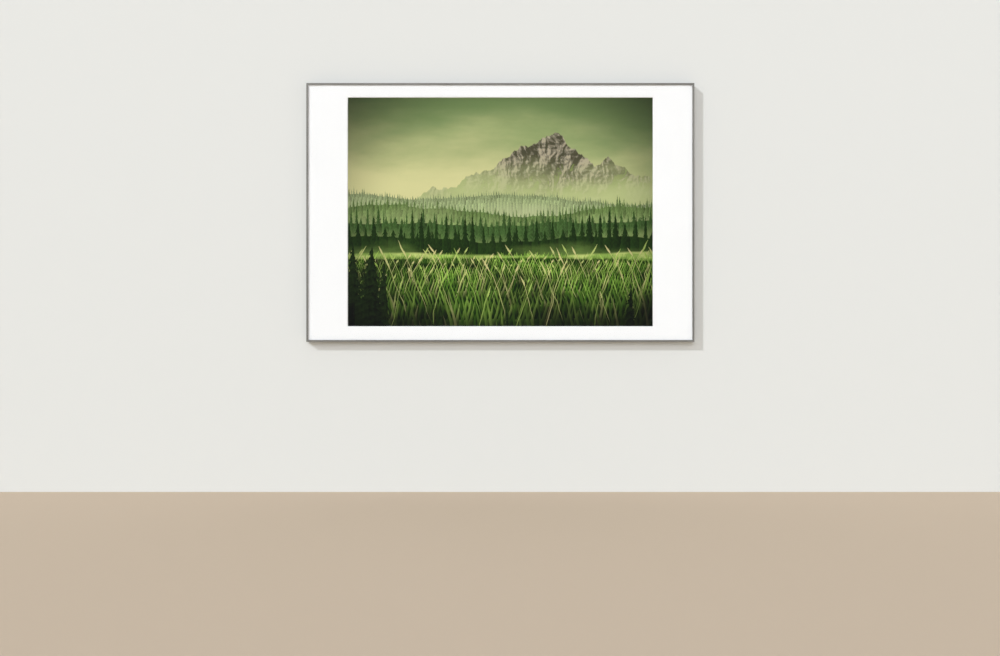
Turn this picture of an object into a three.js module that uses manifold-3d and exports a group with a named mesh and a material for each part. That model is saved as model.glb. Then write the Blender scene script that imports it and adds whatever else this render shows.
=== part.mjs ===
// A framed wall print in landscape format. Four mitred aluminium rails hold clear glazing, a white
// window mat, the printed sheet, a foam board and a hardboard back. Screwed corner plates in the
// rails' rear channel draw the mitres together, bowed spring clips press the stack forward, two
// keyhole plates hang the frame from wall screws, and four bumpers keep it parallel to the wall.
// Millimetres, +Z up. The print faces -Y, and the wall is the plane Y = 0. The origin lies on the
// wall behind the centre of the frame.

import * as THREE from "three";
import { mergeVertices } from "three/addons/utils/BufferGeometryUtils.js";
import Module from "manifold-3d";

// Driving dimensions.
const FRAME_WIDTH = 1208;
const FRAME_HEIGHT = 806;
const RAIL_DEPTH = 30;
const RAIL_FACE = 6; // what the front lip shows
const RAIL_WALL = 1.6; // outer side wall, front lip and the channel's inner wall
const STAND_OFF = 4; // from the rails' back edge to the wall

const SHEET_WIDTH = 1202;
const SHEET_HEIGHT = 800;
const GLAZING_THICKNESS = 2;
const MAT_THICKNESS = 2;
const PRINT_THICKNESS = 0.5;
const FOAM_THICKNESS = 5;
const BACKING_THICKNESS = 3;

const WINDOW_WIDTH = 950; // the mat's window at the print, 4:3
const WINDOW_HEIGHT = 712.5;
const WINDOW_RISE = 2; // the mat is a little deeper below the picture than above it

const GAP = 0.3; // between pieces that touch
const MITRE_GAP = 0.2;

// The rear channel of a rail, open to the wall through a slot between two lips.
const CHANNEL_WIDTH = 8.4;
const CHANNEL_DEPTH = 3.2;
const CHANNEL_LIP = 1.8;
const CHANNEL_SHEET = 1.2; // thickness of the lips and of the rib in front of the channel
const EDGE = 0.4; // broken edges of the rails

// Corner plates and their set screws.
const PLATE_ARM = 48;
const PLATE_THICKNESS = 1.5;
const PRESSURE_THICKNESS = 0.8;
const SET_SCREW_RADIUS = 1.9;
const SET_SCREW_PLACE = 30; // from the frame's outer corner
const SET_SCREW_LENGTH = 2.7;
const SCREW_SLOT = 0.8; // width and depth of a driver slot
const HOLE_PLAY = 0.3; // between a screw and its hole, all round

// Spring clips: bowed strips between the rib and the back of the stack.
const SPRING_CHORD = 64;
const SPRING_WIDTH = 14;
const SPRING_SHEET = 0.7;
const SPRING_INSET = 4; // from the frame's outer side
const SPRINGS_ACROSS = [-400, 0, 400]; // along the top and bottom rails
const SPRINGS_UP = [-200, 200]; // along the side rails

// Keyhole plates on the top rail, each with two screws into a nut bar in the channel.
const HANGER_PLACE = 360; // to each side of the middle
const HANGER_WIDTH = 36;
const HANGER_START = 1; // from the frame's top edge
const HANGER_END = 42;
const HANGER_THICKNESS = 1.5;
const HANGER_CORNER = 3;
const KEYHOLE_SLOT = 5.2; // width of the slot that rests on the wall screw
const KEYHOLE_REST = 19; // depth of its upper end below the frame's top edge
const KEYHOLE_ENTRY = 32; // depth of the round end's centre
const KEYHOLE_RADIUS = 5.5;
const HANGER_SCREWS = 11; // to each side of the plate's middle
const HANGER_SCREW_RADIUS = 2;
const HANGER_HEAD_RADIUS = 3.8;
const HANGER_HEAD_HEIGHT = 1.7;
const HEAD_GAP = 0.2; // under the head
const HEAD_ROUND = 0.8; // how far each flat of the domed edge runs inward
const HEAD_RECESS = 0.6; // share of the head's height
const NUT_BAR_LENGTH = 34;
const NUT_BAR_THICKNESS = 2.6;

const BUMPER_RADIUS = 7;
const BUMPER_INSET = 0.6; // from the frame's top or bottom edge to the bumper's rim
const BUMPER_PLACE = 80; // from the frame's left or right side to the bumper's middle
const BUMPER_ROUND = 1; // the rounded rim at its back

const ROUND = 24; // sides of a round piece

// Depths are counted from the rails' front face towards the wall.
const FRONT = -(RAIL_DEPTH + STAND_OFF);
const channelFloor = RAIL_DEPTH - CHANNEL_SHEET - CHANNEL_DEPTH; // the rib's face towards the wall
const channelMiddle = RAIL_WALL + CHANNEL_WIDTH / 2; // from the frame's outer side
const ribFront = channelFloor - CHANNEL_SHEET;
const lipFront = RAIL_DEPTH - CHANNEL_SHEET;

const glazingFront = RAIL_WALL + GAP;
const matFront = glazingFront + GLAZING_THICKNESS + GAP;
const printFront = matFront + MAT_THICKNESS + GAP;
const foamFront = printFront + PRINT_THICKNESS + GAP;
const backingFront = foamFront + FOAM_THICKNESS + GAP;
const stackBack = backingFront + BACKING_THICKNESS;

function finish(color, roughness, metalness) {
  return new THREE.MeshStandardMaterial({ color, roughness, metalness });
}

const anodised = finish(0x85837b, 0.42, 1);
const acrylic = finish(0xf4f7f6, 0.06, 0);
const matBoard = finish(0xfefefe, 0.9, 0);
const printPaper = finish(0x7c8a58, 0.55, 0);
const foamCore = finish(0xf2f1ec, 0.85, 0);
const hardboard = finish(0x8a6a48, 0.8, 0);
const zincSteel = finish(0xb9bcc0, 0.35, 1);
const springSteel = finish(0x6f7276, 0.3, 1);
const rubber = finish(0x2b2b2c, 0.8, 0);

const wasm = await Module();
wasm.setup();

// Boolean work on closed meshes.
function toManifold(geometry) {
  const bare = geometry.index ? geometry.clone() : geometry;
  bare.deleteAttribute("normal");
  bare.deleteAttribute("uv");
  const merged = mergeVertices(bare);
  return new wasm.Manifold(
    new wasm.Mesh({
      numProp: 3,
      vertProperties: new Float32Array(merged.attributes.position.array),
      triVerts: new Uint32Array(merged.index.array),
    }),
  );
}

function toGeometry(manifold) {
  const mesh = manifold.getMesh();
  const geometry = new THREE.BufferGeometry();
  geometry.setAttribute("position", new THREE.BufferAttribute(mesh.vertProperties, 3));
  geometry.setIndex(new THREE.BufferAttribute(mesh.triVerts, 1));
  geometry.computeVertexNormals();
  return geometry;
}

function cutFrom(geometry, ...tools) {
  const cut = tools.reduce((left, tool) => left.subtract(toManifold(tool)), toManifold(geometry));
  return toGeometry(cut);
}

function named(name, geometry, material) {
  const mesh = new THREE.Mesh(geometry, material);
  mesh.name = name;
  return mesh;
}

// A flat outline in X and Z, given thickness from the depth front towards the wall.
function plate(shape, thickness, front) {
  const geometry = new THREE.ExtrudeGeometry(shape, {
    depth: thickness,
    bevelEnabled: false,
    curveSegments: ROUND / 4,
  });
  geometry.rotateX(Math.PI / 2);
  geometry.translate(0, FRONT + front + thickness, 0);
  return geometry;
}

function circlePath(x, z, radius) {
  const path = new THREE.Path();
  path.absarc(x, z, radius, 0, 2 * Math.PI);
  return path;
}

function rectangle(width, height, path = new THREE.Shape()) {
  path.moveTo(-width / 2, -height / 2);
  path.lineTo(width / 2, -height / 2);
  path.lineTo(width / 2, height / 2);
  path.lineTo(-width / 2, height / 2);
  path.closePath();
  return path;
}

// A round piece about an axis towards the wall: its profile holds [radius, depth] pairs.
function turned(profile, x, z) {
  const points = profile.map(([radius, depth]) => new THREE.Vector2(radius, FRONT + depth));
  const geometry = new THREE.LatheGeometry(points, ROUND);
  geometry.translate(x, 0, z);
  return geometry;
}

// Rails. The section holds [inward, depth] points: inward from the outer side, depth from the front.
function railSection() {
  const channelInner = RAIL_WALL + CHANNEL_WIDTH;
  const railInner = channelInner + RAIL_WALL;
  return [
    [EDGE, 0],
    [RAIL_FACE - EDGE, 0],
    [RAIL_FACE, EDGE],
    [RAIL_FACE, RAIL_WALL],
    [RAIL_WALL, RAIL_WALL],
    [RAIL_WALL, ribFront],
    [railInner, ribFront],
    [railInner, RAIL_DEPTH],
    [channelInner - CHANNEL_LIP, RAIL_DEPTH],
    [channelInner - CHANNEL_LIP, lipFront],
    [channelInner, lipFront],
    [channelInner, channelFloor],
    [RAIL_WALL, channelFloor],
    [RAIL_WALL, lipFront],
    [RAIL_WALL + CHANNEL_LIP, lipFront],
    [RAIL_WALL + CHANNEL_LIP, RAIL_DEPTH],
    [EDGE, RAIL_DEPTH],
    [0, RAIL_DEPTH - EDGE],
    [0, EDGE],
  ];
}

// One rail lies along X with its outer side at Z = 0. Each end is drawn back by the inward place of
// its points, which cuts the mitre.
function railGeometry(length) {
  const shape = new THREE.Shape(railSection().map(([inward, depth]) => new THREE.Vector2(inward, depth)));
  const geometry = new THREE.ExtrudeGeometry(shape, { depth: 1, bevelEnabled: false });
  const points = geometry.attributes.position;
  for (let i = 0; i < points.count; i += 1) {
    const inward = points.getX(i);
    const end = 1 - 2 * points.getZ(i);
    const reach = length / 2 - inward - MITRE_GAP * Math.SQRT1_2;
    points.setXYZ(i, end * reach, FRONT + points.getY(i), inward);
  }
  geometry.computeVertexNormals();
  return geometry;
}

function springGeometry() {
  const rise = ribFront - GAP - (stackBack + GAP);
  const bow = rise - SPRING_SHEET;
  const outer = (SPRING_CHORD ** 2 / 4 + bow ** 2) / (2 * bow);
  const inner = outer - SPRING_SHEET;
  const spread = Math.asin(SPRING_CHORD / 2 / outer);
  const shape = new THREE.Shape();
  shape.absarc(0, 0, outer, -Math.PI / 2 - spread, -Math.PI / 2 + spread);
  shape.absarc(0, 0, inner, -Math.PI / 2 + spread, -Math.PI / 2 - spread, true);
  const geometry = new THREE.ExtrudeGeometry(shape, {
    depth: SPRING_WIDTH,
    bevelEnabled: false,
    curveSegments: 10,
  });
  geometry.translate(0, FRONT + stackBack + GAP + outer, SPRING_INSET);
  return geometry;
}

// The four sides of the frame: name, length, quarter turns, place and the springs along it.
const SIDES = [
  ["bottom", FRAME_WIDTH, 0, [0, -FRAME_HEIGHT / 2], SPRINGS_ACROSS],
  ["left", FRAME_HEIGHT, 1, [-FRAME_WIDTH / 2, 0], SPRINGS_UP],
  ["top", FRAME_WIDTH, 2, [0, FRAME_HEIGHT / 2], SPRINGS_ACROSS],
  ["right", FRAME_HEIGHT, 3, [FRAME_WIDTH / 2, 0], SPRINGS_UP],
];

function sideGroup([name, length, turns, [x, z], springs]) {
  const side = new THREE.Group();
  side.rotation.y = (turns * Math.PI) / 2;
  side.position.set(x, 0, z);
  side.add(named(`rail_${name}`, railGeometry(length), anodised));
  springs.forEach((place, index) => {
    const spring = named(`spring_${name}_${index + 1}`, springGeometry(), springSteel);
    spring.position.x = place;
    side.add(spring);
  });
  return side;
}

// Flat sheets of the stack.
function sheet(name, thickness, front, material) {
  return named(name, plate(rectangle(SHEET_WIDTH, SHEET_HEIGHT), thickness, front), material);
}

// The mat's window widens towards the front at 45 degrees.
function windowMat() {
  const shape = rectangle(SHEET_WIDTH, SHEET_HEIGHT);
  shape.holes.push(rectangle(WINDOW_WIDTH, WINDOW_HEIGHT, new THREE.Path()));
  const geometry = plate(shape, MAT_THICKNESS, matFront);
  const points = geometry.attributes.position;
  for (let i = 0; i < points.count; i += 1) {
    const [x, y, z] = [points.getX(i), points.getY(i), points.getZ(i)];
    if (Math.abs(x) < WINDOW_WIDTH / 2 + 1) {
      const widen = y < FRONT + matFront + MAT_THICKNESS / 2 ? MAT_THICKNESS : 0;
      points.setXYZ(i, x + Math.sign(x) * widen, y, z + Math.sign(z) * widen + WINDOW_RISE);
    }
  }
  geometry.computeVertexNormals();
  return named("window_mat", geometry, matBoard);
}

// Corner plates lie in the channel round each corner: a threaded plate behind its lips, and a thin
// pressure plate on its floor that the set screws push against.
function cornerShape(withHoles) {
  const near = RAIL_WALL + GAP;
  const far = RAIL_WALL + CHANNEL_WIDTH - GAP;
  const shape = new THREE.Shape();
  shape.moveTo(near, near);
  shape.lineTo(PLATE_ARM, near);
  shape.lineTo(PLATE_ARM, far);
  shape.lineTo(far, far);
  shape.lineTo(far, PLATE_ARM);
  shape.lineTo(near, PLATE_ARM);
  shape.closePath();
  if (withHoles) {
    const radius = SET_SCREW_RADIUS + HOLE_PLAY;
    shape.holes.push(circlePath(SET_SCREW_PLACE, channelMiddle, radius));
    shape.holes.push(circlePath(channelMiddle, SET_SCREW_PLACE, radius));
  }
  return shape;
}

// A box that cuts a driver slot of the depth deep into the end of a screw.
function slotTool(length, width, deep, end, x, z) {
  const box = new THREE.BoxGeometry(length, 2 * deep, width);
  box.translate(x, FRONT + end, z);
  return box;
}

function setScrew(x, z) {
  const tip = channelFloor + GAP + PRESSURE_THICKNESS + GAP;
  const end = tip + SET_SCREW_LENGTH;
  const radius = SET_SCREW_RADIUS;
  const body = turned([[0, tip], [radius, tip], [radius, end - EDGE], [radius - EDGE, end], [0, end]], x, z);
  return cutFrom(body, slotTool(4 * radius, SCREW_SLOT, SCREW_SLOT, end, x, z));
}

const CORNERS = [
  ["bottom_left", -1, -1],
  ["top_left", -1, 1],
  ["top_right", 1, 1],
  ["bottom_right", 1, -1],
];

function cornerGroup([name, across, up], turns) {
  const corner = new THREE.Group();
  corner.rotation.y = (turns * Math.PI) / 2;
  corner.position.set((across * FRAME_WIDTH) / 2, 0, (up * FRAME_HEIGHT) / 2);
  const pressure = plate(cornerShape(false), PRESSURE_THICKNESS, channelFloor + GAP);
  const threaded = plate(cornerShape(true), PLATE_THICKNESS, lipFront - GAP - PLATE_THICKNESS);
  corner.add(named(`pressure_plate_${name}`, pressure, zincSteel));
  corner.add(named(`corner_plate_${name}`, threaded, zincSteel));
  corner.add(named(`corner_screw_${name}_1`, setScrew(SET_SCREW_PLACE, channelMiddle), zincSteel));
  corner.add(named(`corner_screw_${name}_2`, setScrew(channelMiddle, SET_SCREW_PLACE), zincSteel));
  return corner;
}

// Hangers. Their Z counts down from the frame's top edge, so the group sits at that edge.
function roundedPlateShape(width, top, bottom, corner) {
  const side = width / 2;
  const shape = new THREE.Shape();
  shape.absarc(side - corner, bottom + corner, corner, -Math.PI / 2, 0);
  shape.absarc(side - corner, top - corner, corner, 0, Math.PI / 2);
  shape.absarc(-side + corner, top - corner, corner, Math.PI / 2, Math.PI);
  shape.absarc(-side + corner, bottom + corner, corner, Math.PI, 1.5 * Math.PI);
  shape.closePath();
  return shape;
}

// The wall screw's head enters the round end, and its shank then carries the slot's flat upper end.
function keyholePath() {
  const half = KEYHOLE_SLOT / 2;
  const spread = Math.asin(half / KEYHOLE_RADIUS);
  const path = new THREE.Path();
  path.absarc(0, -KEYHOLE_ENTRY, KEYHOLE_RADIUS, Math.PI / 2 + spread, 2.5 * Math.PI - spread);
  path.lineTo(half, -KEYHOLE_REST);
  path.lineTo(-half, -KEYHOLE_REST);
  path.closePath();
  return path;
}

const hangerFront = RAIL_DEPTH + GAP;
const hangerBack = hangerFront + HANGER_THICKNESS;

function hangerPlate() {
  const shape = roundedPlateShape(HANGER_WIDTH, -HANGER_START, -HANGER_END, HANGER_CORNER);
  shape.holes.push(keyholePath());
  for (const side of [-1, 1]) {
    shape.holes.push(circlePath(side * HANGER_SCREWS, -channelMiddle, HANGER_SCREW_RADIUS + HOLE_PLAY));
  }
  return plate(shape, HANGER_THICKNESS, hangerFront);
}

function nutBar() {
  const width = CHANNEL_WIDTH - 2 * GAP;
  const shape = roundedPlateShape(
    NUT_BAR_LENGTH,
    -channelMiddle + width / 2,
    -channelMiddle - width / 2,
    EDGE,
  );
  for (const side of [-1, 1]) {
    shape.holes.push(circlePath(side * HANGER_SCREWS, -channelMiddle, HANGER_SCREW_RADIUS + HOLE_PLAY));
  }
  return plate(shape, NUT_BAR_THICKNESS, channelFloor + GAP);
}

// A pan-head screw with a cross recess.
function hangerScrew(x) {
  const tip = channelFloor + 2 * GAP;
  const under = hangerBack + HEAD_GAP;
  const end = under + HANGER_HEAD_HEIGHT;
  const shank = HANGER_SCREW_RADIUS;
  const head = HANGER_HEAD_RADIUS;
  const profile = [
    [0, tip],
    [shank - EDGE, tip],
    [shank, tip + EDGE],
    [shank, under],
    [head, under],
    [head, under + HANGER_HEAD_HEIGHT / 2],
    [head - HEAD_ROUND, end - HEAD_ROUND / 3],
    [head - 2 * HEAD_ROUND, end],
    [0, end],
  ];
  const recess = HANGER_HEAD_HEIGHT * HEAD_RECESS;
  const across = slotTool(head, SCREW_SLOT, recess, end, x, -channelMiddle);
  const upright = slotTool(SCREW_SLOT, head, recess, end, x, -channelMiddle);
  return cutFrom(turned(profile, x, -channelMiddle), across, upright);
}

function hangerGroup(name, side) {
  const hanger = new THREE.Group();
  hanger.position.set(side * HANGER_PLACE, 0, FRAME_HEIGHT / 2);
  hanger.add(named(`hanger_plate_${name}`, hangerPlate(), zincSteel));
  hanger.add(named(`hanger_nut_bar_${name}`, nutBar(), zincSteel));
  hanger.add(named(`hanger_screw_${name}_1`, hangerScrew(-HANGER_SCREWS), zincSteel));
  hanger.add(named(`hanger_screw_${name}_2`, hangerScrew(HANGER_SCREWS), zincSteel));
  return hanger;
}

// A bumper's flat back is on the wall.
function bumper([name, across, up]) {
  const front = RAIL_DEPTH + GAP;
  const back = RAIL_DEPTH + STAND_OFF;
  const profile = [
    [0, front],
    [BUMPER_RADIUS, front],
    [BUMPER_RADIUS, back - BUMPER_ROUND],
    [BUMPER_RADIUS - BUMPER_ROUND / 3, back - BUMPER_ROUND / 3],
    [BUMPER_RADIUS - BUMPER_ROUND, back],
    [0, back],
  ];
  const x = across * (FRAME_WIDTH / 2 - BUMPER_PLACE);
  const z = up * (FRAME_HEIGHT / 2 - BUMPER_INSET - BUMPER_RADIUS);
  return named(`bumper_${name}`, turned(profile, x, z), rubber);
}

const group = new THREE.Group();
SIDES.forEach((side) => group.add(sideGroup(side)));
group.add(sheet("glazing", GLAZING_THICKNESS, glazingFront, acrylic));
group.add(windowMat());
group.add(sheet("print_sheet", PRINT_THICKNESS, printFront, printPaper));
group.add(sheet("foam_board", FOAM_THICKNESS, foamFront, foamCore));
group.add(sheet("backing_board", BACKING_THICKNESS, backingFront, hardboard));
CORNERS.forEach((corner, turns) => group.add(cornerGroup(corner, turns)));
group.add(hangerGroup("left", -1), hangerGroup("right", 1));
CORNERS.forEach((corner) => group.add(bumper(corner)));

export default group;
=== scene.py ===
"""Framed wall print: a glazed print behind a window mat, in a mitred aluminium section frame."""

import math
import random

import bmesh
import bpy
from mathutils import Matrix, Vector


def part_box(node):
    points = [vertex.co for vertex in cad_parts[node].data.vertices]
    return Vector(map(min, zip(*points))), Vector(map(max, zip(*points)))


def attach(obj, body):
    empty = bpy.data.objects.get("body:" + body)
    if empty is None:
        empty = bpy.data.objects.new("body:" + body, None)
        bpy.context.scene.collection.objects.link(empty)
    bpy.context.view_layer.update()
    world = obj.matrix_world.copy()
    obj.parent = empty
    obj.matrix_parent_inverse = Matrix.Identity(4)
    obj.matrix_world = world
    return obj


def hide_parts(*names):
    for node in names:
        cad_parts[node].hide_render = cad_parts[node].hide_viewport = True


bl_info = {
    "name": "Framed Wall Print",
    "version": (1, 0, 0),
    "blender": (4, 5, 0),
    "location": "View3D > Sidebar > Framed Print",
    "description": "Builds a glazed print in a mitred aluminium section frame, with the fittings on its back",
    "category": "Object",
}

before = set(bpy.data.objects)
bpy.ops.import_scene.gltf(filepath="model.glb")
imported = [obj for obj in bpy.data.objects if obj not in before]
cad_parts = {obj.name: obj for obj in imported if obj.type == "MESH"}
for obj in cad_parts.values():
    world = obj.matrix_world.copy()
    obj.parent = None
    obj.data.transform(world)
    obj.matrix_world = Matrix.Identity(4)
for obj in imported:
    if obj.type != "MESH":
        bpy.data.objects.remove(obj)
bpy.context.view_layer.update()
MM = 0.001

# How far each kind of piece has its edges rounded, in millimetres.
EDGES = {
    "glazing": 0.3,
    "print": 0.05,
    "board": 0.4,
    "tape": 0.04,
    "clip": 0.12,
    "screw": 0.06,
    "plate": 0.2,
    "bumper": 0.15,
}

# An edge is rounded where it bends more than the first angle, and shaded as a crease past the second.
ROUNDED_PAST, CREASED_PAST = math.radians(38), math.radians(40)

# The frame's outer box. Y grows towards the wall.
FRONT, BACK = (corner.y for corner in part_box("rail_bottom"))
LEFT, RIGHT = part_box("rail_left")[0].x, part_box("rail_right")[1].x
BOTTOM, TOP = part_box("rail_bottom")[0].z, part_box("rail_top")[1].z


def linear(hex_code):
    """An sRGB hex value as linear red, green and blue."""
    parts = [int(hex_code[i : i + 2], 16) / 255 for i in (0, 2, 4)]
    return tuple(c / 12.92 if c <= 0.04045 else ((c + 0.055) / 1.055) ** 2.4 for c in parts)


def length(name, description, millimetres):
    """A length property, whose default is given in millimetres."""
    return bpy.props.FloatProperty(
        name=name, description=description, default=millimetres * MM, unit="LENGTH", precision=5
    )


def colour(name, description, hex_code):
    """A colour property, whose default is given as an sRGB hex value."""
    return bpy.props.FloatVectorProperty(
        name=name, description=description, default=linear(hex_code), subtype="COLOR", min=0, max=1
    )


class FramedPrintSizes(bpy.types.PropertyGroup):
    """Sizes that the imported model's boxes don't give."""

    rail_face: length("Rail face", "Width of the rail's front lip", 6)
    rail_wall: length("Rail wall", "Thickness of the rail's side wall and front lip", 1.6)
    rail_round: length("Rail rounding", "Radius of the rail's broken edges", 0.4)
    mitre_gap: length("Mitre gap", "Width of the joint between two rails", 0.2)
    channel_width: length("Channel width", "Inside width of the channel at the rail's back", 8.4)
    channel_depth: length("Channel depth", "Inside depth of the channel", 3.2)
    channel_lip: length("Channel lip", "Reach of each lip over the channel", 1.8)
    channel_sheet: length("Channel sheet", "Thickness of the channel's floor and lips", 1.2)
    window_width: length("Window width", "Width of the mat's window at the print", 950)
    window_height: length("Window height", "Height of the mat's window at the print", 712.5)
    window_rise: length("Window rise", "How far the window's centre is above the frame's", 2)
    tape_width: length("Tape width", "Width of the sealing tape on the backing board", 28)
    tape_sheet: length("Tape thickness", "Thickness of the sealing tape", 0.12)
    spring_sheet: length("Spring sheet", "Thickness of the spring clips", 0.7)
    spring_corner: length("Spring corner", "Radius of the corners at a clip's ends", 3)
    screw_chamfer: length("Screw chamfer", "Chamfer at a set screw's end", 0.35)
    driver_slot: length("Driver slot", "Width and depth of the slot in a screw's end", 0.8)
    plate_corner: length("Plate corner", "Radius of a keyhole plate's corners", 3)
    screw_hole: length("Screw hole", "Radius of the holes in a keyhole plate", 2.3)
    keyhole_slot: length("Keyhole slot", "Width of the slot that rests on the wall screw", 5.2)
    keyhole_entry: length("Keyhole entry", "Radius of the round end that lets the screw's head in", 5.5)
    keyhole_rest: length("Keyhole rest", "From the plate's top to the slot's upper end", 18)
    keyhole_drop: length("Keyhole drop", "From the plate's top to the round end's centre", 31)
    head_height: length("Head height", "Height of a pan head", 1.7)
    recess_depth: length("Recess depth", "Depth of the cross recess in a pan head", 1.105)
    head_round: length("Head rounding", "Radius of a pan head's rim", 1.1)
    shank_radius: length("Shank radius", "Radius of a pan-head screw's shank", 2)
    bumper_round: length("Bumper rounding", "Radius of the bumper's rim", 1)


class FramedPrintColours(bpy.types.PropertyGroup):
    """Colours of the finishes."""

    rail: colour("Rails", "Anodised aluminium", "706E69")
    mat: colour("Mat", "Face of the mat board", "F8F8F8")
    mat_core: colour("Mat core", "Cut edge of the mat board", "FEFEFE")
    foam: colour("Foam board", "Paper face of the foam board", "EFEEE8")
    hardboard: colour("Hardboard", "Face of the backing board", "8E6F4E")
    tape: colour("Tape", "Gummed paper tape", "C2A57A")
    zinc: colour("Zinc", "Zinc plated steel", "C3C6C8")
    spring: colour("Spring steel", "Oil tempered spring steel", "B6B9BC")
    rubber: colour("Rubber", "Moulded rubber", "2C2C2D")
    wall: colour("Wall", "Wall of the stage", "E2E3DF")
    floor: colour("Floor", "Floor of the stage", "D7C5B0")


def sizes():
    return bpy.context.scene.framed_print_sizes


def colours():
    return bpy.context.scene.framed_print_colours


def nodes_named(start):
    """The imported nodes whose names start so, in order."""
    return sorted(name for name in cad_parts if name.startswith(start))


def middle(node_name):
    """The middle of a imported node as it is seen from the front, at the wall's depth."""
    low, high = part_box(node_name)
    return Vector(((low.x + high.x) / 2, 0, (low.z + high.z) / 2))


# Modelling by hand, in code.

def deselect():
    bpy.ops.object.select_all(action="DESELECT")


def select_only(piece):
    """Makes a piece the active and only selected object."""
    deselect()
    piece.select_set(True)
    bpy.context.view_layer.objects.active = piece


def settled(name):
    """Names the active object and moves its place into its mesh."""
    bpy.ops.object.transform_apply(location=True, rotation=True, scale=True)
    piece = bpy.context.object
    piece.name = piece.data.name = name
    return piece


def block(name, low, high):
    """A box primitive between two corners."""
    low, high = Vector(low), Vector(high)
    deselect()
    bpy.ops.mesh.primitive_cube_add(size=1, location=(low + high) / 2, scale=high - low)
    return settled(name)


def rod(name, centre, radius, front, back, sides=32):
    """A cylinder primitive whose axis points to the wall, between two depths."""
    place = (centre[0], (front + back) / 2, centre[1])
    deselect()
    bpy.ops.mesh.primitive_cylinder_add(
        vertices=sides, radius=radius, depth=back - front, location=place, rotation=(math.pi / 2, 0, 0)
    )
    return settled(name)


def start_edit(piece):
    select_only(piece)
    bpy.ops.object.mode_set(mode="EDIT")


def end_edit():
    bpy.ops.object.mode_set(mode="OBJECT")


def pick(kind, test):
    """In edit mode, selects the "faces", "edges" or "verts" of the active mesh that pass a test."""
    bpy.ops.mesh.select_mode(type=kind[:-1].upper())
    bpy.ops.mesh.select_all(action="DESELECT")
    data = bpy.context.edit_object.data
    mesh = bmesh.from_edit_mesh(data)
    chosen = [part for part in getattr(mesh, kind) if test(part)]
    if not chosen:
        raise RuntimeError(f"no {kind} of {data.name} pass the test")
    for part in chosen:
        part.select_set(True)
    bmesh.update_edit_mesh(data)


def facing(face, x=0, y=0, z=0):
    """Whether a face points that way."""
    return face.normal.dot(Vector((x, y, z))) > 0.9


def split_at(point, normal, **cut):
    """In edit mode, cuts the whole mesh along a plane, and keeps both sides unless told otherwise."""
    bpy.ops.mesh.select_all(action="SELECT")
    bpy.ops.mesh.bisect(plane_co=point, plane_no=normal, **cut)


def extrude(offset):
    """In edit mode, extrudes the selected faces by an offset."""
    bpy.ops.mesh.extrude_region_move(TRANSFORM_OT_translate={"value": offset})


def round_rim(piece, reach, segments):
    """Rounds the rim of the face that points to the wall."""
    start_edit(piece)
    pick("faces", lambda f: facing(f, y=1))
    bpy.ops.mesh.bevel(offset=reach, segments=segments)
    end_edit()


def merge():
    """In edit mode, merges doubled points and turns every face outwards."""
    bpy.ops.mesh.select_all(action="SELECT")
    bpy.ops.mesh.remove_doubles(threshold=0.01 * MM)
    bpy.ops.mesh.normals_make_consistent()


def apply_modifier(piece, kind, **settings):
    """Adds a modifier with its settings and applies it."""
    select_only(piece)
    modifier = piece.modifiers.new(kind.title(), kind)
    for name, value in settings.items():
        setattr(modifier, name, value)
    bpy.ops.object.modifier_apply(modifier=modifier.name)


def round_edges(piece, width, segments):
    limit = {"limit_method": "ANGLE", "angle_limit": ROUNDED_PAST}
    apply_modifier(piece, "BEVEL", width=width, segments=segments, **limit)


def smooth(piece):
    """Shades a piece smooth, and keeps its large faces flat beside their rounded edges."""
    select_only(piece)
    bpy.ops.object.shade_smooth_by_angle(angle=CREASED_PAST)
    apply_modifier(piece, "WEIGHTED_NORMAL", keep_sharp=True, weight=100)


def soften(piece, kind, segments=2):
    """Rounds the edges as far as that kind of piece has them, and shades the result."""
    round_edges(piece, EDGES[kind] * MM, segments)
    smooth(piece)


def cut_out(piece, *cutters):
    """Takes the cutters' shapes out of a piece and deletes them."""
    for cutter in cutters:
        apply_modifier(piece, "BOOLEAN", operation="DIFFERENCE", solver="EXACT", object=cutter)
        bpy.data.objects.remove(cutter)


def fit(piece, finish, slot, *nodes):
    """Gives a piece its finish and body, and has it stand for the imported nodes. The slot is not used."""
    for material in finish if isinstance(finish, tuple) else (finish,):
        piece.data.materials.append(material)
    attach(piece, "root")
    if nodes:
        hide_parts(*nodes)


def set_out(model, finish, slot, places):
    """Copies a finished model to its places, each copy with its own mesh, and removes the model.

    A place is a name, a turn about Y in degrees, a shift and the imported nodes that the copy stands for.
    """
    for name, degrees, shift, *nodes in places:
        piece = model.copy()
        piece.data = model.data.copy()
        bpy.context.scene.collection.objects.link(piece)
        select_only(piece)
        piece.rotation_euler = (0, math.radians(degrees), 0)
        piece.location = shift
        fit(settled(name), finish, slot, *nodes)
    bpy.data.objects.remove(model)


def places_of(start, prefix, seed=0, most=0):
    """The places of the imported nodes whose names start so, each turned by chance, up to an angle."""
    turns = random.Random(seed)
    return [(f"{prefix}_{name}", turns.uniform(0, most), middle(name), name) for name in nodes_named(start)]


def on_side(side, low, high, depth=0.0):
    """The turn and shift that put a model on one side of a rectangle about the origin.

    The model lies along X, with its outer side at Z = 0.
    """
    return {
        "bottom": (0, (0, depth, low.z)),
        "left": (90, (low.x, depth, 0)),
        "top": (180, (0, depth, high.z)),
        "right": (270, (high.x, depth, 0)),
    }[side]


def refinish(start, finish):
    """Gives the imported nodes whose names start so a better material."""
    for name in nodes_named(start):
        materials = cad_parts[name].data.materials
        materials.clear()
        materials.append(finish)


# Materials. Each works out its patterns from real sizes.

COLOURS = {"data_type": "RGBA", "out": 2}  # a Mix node takes its share at input 0, its colours at 6 and 7
EASED = {"interpolation_type": "SMOOTHSTEP", "clamp": False}  # a Map Range node that is level at both ends


class Bench:
    """Holds the material or world that is being made, which new nodes go into."""

    work = None


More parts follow.
